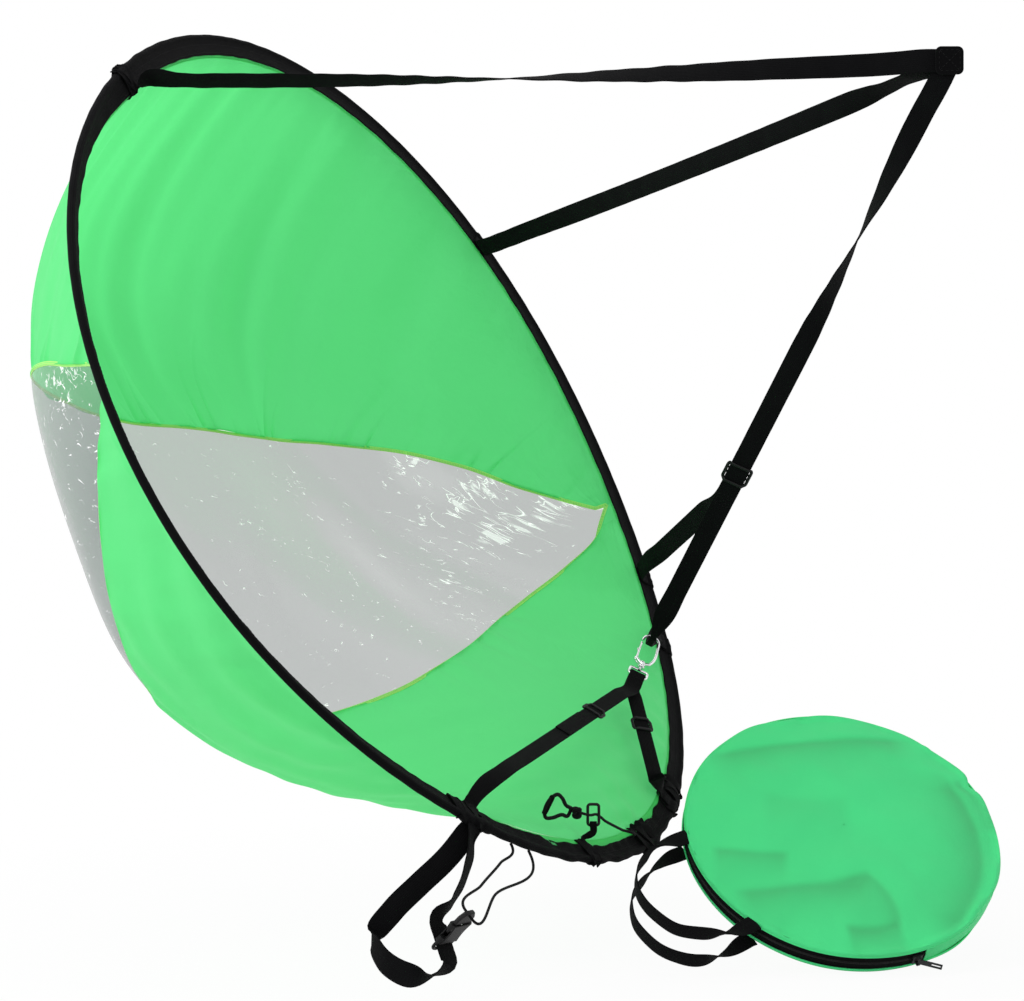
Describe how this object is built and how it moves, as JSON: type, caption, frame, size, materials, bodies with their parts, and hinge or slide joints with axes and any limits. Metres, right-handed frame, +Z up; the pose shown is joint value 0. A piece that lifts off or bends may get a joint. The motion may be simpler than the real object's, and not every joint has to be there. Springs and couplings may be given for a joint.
{
  "type": "pop-up canoe sail",
  "caption": "Pop-up downwind sail for a canoe: sprung hoop, cloth bowl with a clear window, webbing lines to a hand point, snap hook and deck straps, with its round zipped bag.",
  "frame": {"origin": "foot of the hoop, where the sail is lashed to the deck", "axes": "+Z up, -Y towards the paddler and the open side of the bowl, +X to starboard, the hoop's top leaning away from the paddler"},
  "size_m": [1.0974, 1.1308, 1.0933],
  "materials": {
    "fibreglass": "pale pultruded rod, hidden",
    "ferrule": "plain tube, hidden",
    "webbing": "black woven polyester",
    "green_cloth": "thin bright green polyester",
    "clear_sheet": "soft clear sheet, a little crinkled",
    "lime_tape": "lime binding tape",
    "plated_metal": "bright plated die casting",
    "black_plastic": "moulded, satin",
    "cord": "braided black cord",
    "zip_tape": "black zip tape",
    "dark_metal": "black painted zip metal"
  },
  "bodies": {
    "sail": {"hoop_rod": "fibreglass", "hoop_ferrule": "ferrule", "hoop_sleeve": "webbing", "hem_strip": "green_cloth", "upper_panel": "green_cloth", "clear_window": "clear_sheet", "lower_panel": "green_cloth", "top_seam_tape": "lime_tape", "low_seam_tape": "lime_tape", "upper_anchor": "webbing", "middle_anchor": "webbing", "branch_anchor": "webbing", "lower_anchor": "webbing", "port_anchor": "webbing", "starboard_anchor": "webbing", "foot_anchor": "webbing", "upper_line": "webbing", "middle_line": "webbing", "lower_line": "webbing", "branch_line": "webbing", "hand_patch": "webbing", "port_strap": "webbing", "port_strap_tail": "webbing", "starboard_strap": "webbing", "swivel_eye": "plated_metal", "lashing_loop": "webbing", "buckle_socket": "black_plastic", "lashing_cord": "cord", "foot_tab": "webbing", "foot_cord": "cord", "foot_cord_loop": "cord", "foot_knot": "cord"},
    "snap_hook": {"hook_body": "plated_metal"},
    "gate": {"hook_gate": "plated_metal", "gate_pin": "plated_metal"},
    "line_slide": {"tri_glide": "black_plastic"},
    "port_slide": {"port_adjuster": "black_plastic"},
    "starboard_slide": {"starboard_adjuster": "black_plastic"},
    "insert": {"buckle_insert": "black_plastic"},
    "ring": {"foot_ring": "black_plastic"},
    "bag": {"bag_front": "green_cloth", "bag_back": "green_cloth", "bag_gusset": "green_cloth", "zip_tape_front": "zip_tape", "zip_tape_back": "zip_tape", "zip_teeth": "black_plastic"},
    "slider": {"zip_slider": "dark_metal"},
    "puller": {"zip_puller": "dark_metal"},
    "handle_front": {"front_handle": "webbing"},
    "handle_back": {"back_handle": "webbing"}
  },
  "joints": [
    {"name": "hook_swivel", "type": "hinge", "parent": "sail", "child": "snap_hook", "pos_m": [0.28051, 0.08939, 0.18912], "axis": [-0.6738, 0.0502, -0.7372], "range_deg": [-15, 15]},
    {"name": "gate_pivot", "type": "hinge", "parent": "snap_hook", "child": "gate", "pos_m": [0.28361, 0.09632, 0.20086], "axis": [0.6096, 0.6017, -0.5162], "range_deg": [0, 14], "stiffness_Nm_per_rad": 0.01, "springref_deg": -17.19},
    {"name": "line_slide_travel", "type": "slide", "parent": "sail", "child": "line_slide", "axis": [-0.365, -0.5645, 0.7404], "range_m": [0, 0.08]},
    {"name": "port_slide_travel", "type": "slide", "parent": "sail", "child": "port_slide", "axis": [-0.9839, -0.1057, -0.1438], "range_m": [-0.05, 0.024]},
    {"name": "starboard_slide_travel", "type": "slide", "parent": "sail", "child": "starboard_slide", "axis": [-0.5855, -0.4747, -0.6572], "range_m": [-0.03, 0.04]},
    {"name": "buckle_release", "type": "slide", "parent": "sail", "child": "insert", "axis": [-0.1129, -0.6981, 0.707], "range_m": [0, 0.02], "deforming": ["lashing_cord"]},
    {"name": "ring_pivot", "type": "hinge", "parent": "sail", "child": "ring", "pos_m": [-0.031, 0.004, 0.0325], "axis": [0.4641, -0.8858, 0], "range_deg": [-20, 20], "deforming": ["foot_cord"]},
    {"name": "bag_lift", "type": "slide", "parent": "sail", "child": "bag", "axis": [0, 0, 1], "range_m": [0, 0.3]},
    {"name": "zip_travel", "type": "hinge", "parent": "bag", "child": "slider", "pos_m": [0.138, -0.229, 0.012], "axis": [-0.5386, -0.3802, 0.7519], "range_deg": [-126, 0]},
    {"name": "puller_pivot", "type": "hinge", "parent": "slider", "child": "puller", "pos_m": [0.05778, -0.34938, -0.10635], "axis": [-0.5386, -0.3802, 0.7519], "range_deg": [-120, 10]},
    {"name": "front_handle_swing", "type": "hinge", "parent": "bag", "child": "handle_front", "pos_m": [-0.00222, -0.13679, -0.02347], "axis": [0.3266, 0.7284, 0.6023], "range_deg": [0, 50]},
    {"name": "back_handle_swing", "type": "hinge", "parent": "bag", "child": "handle_back", "pos_m": [0.01265, -0.1263, -0.04423], "axis": [-0.3266, -0.7284, -0.6023], "range_deg": [0, 50]}
  ]
}
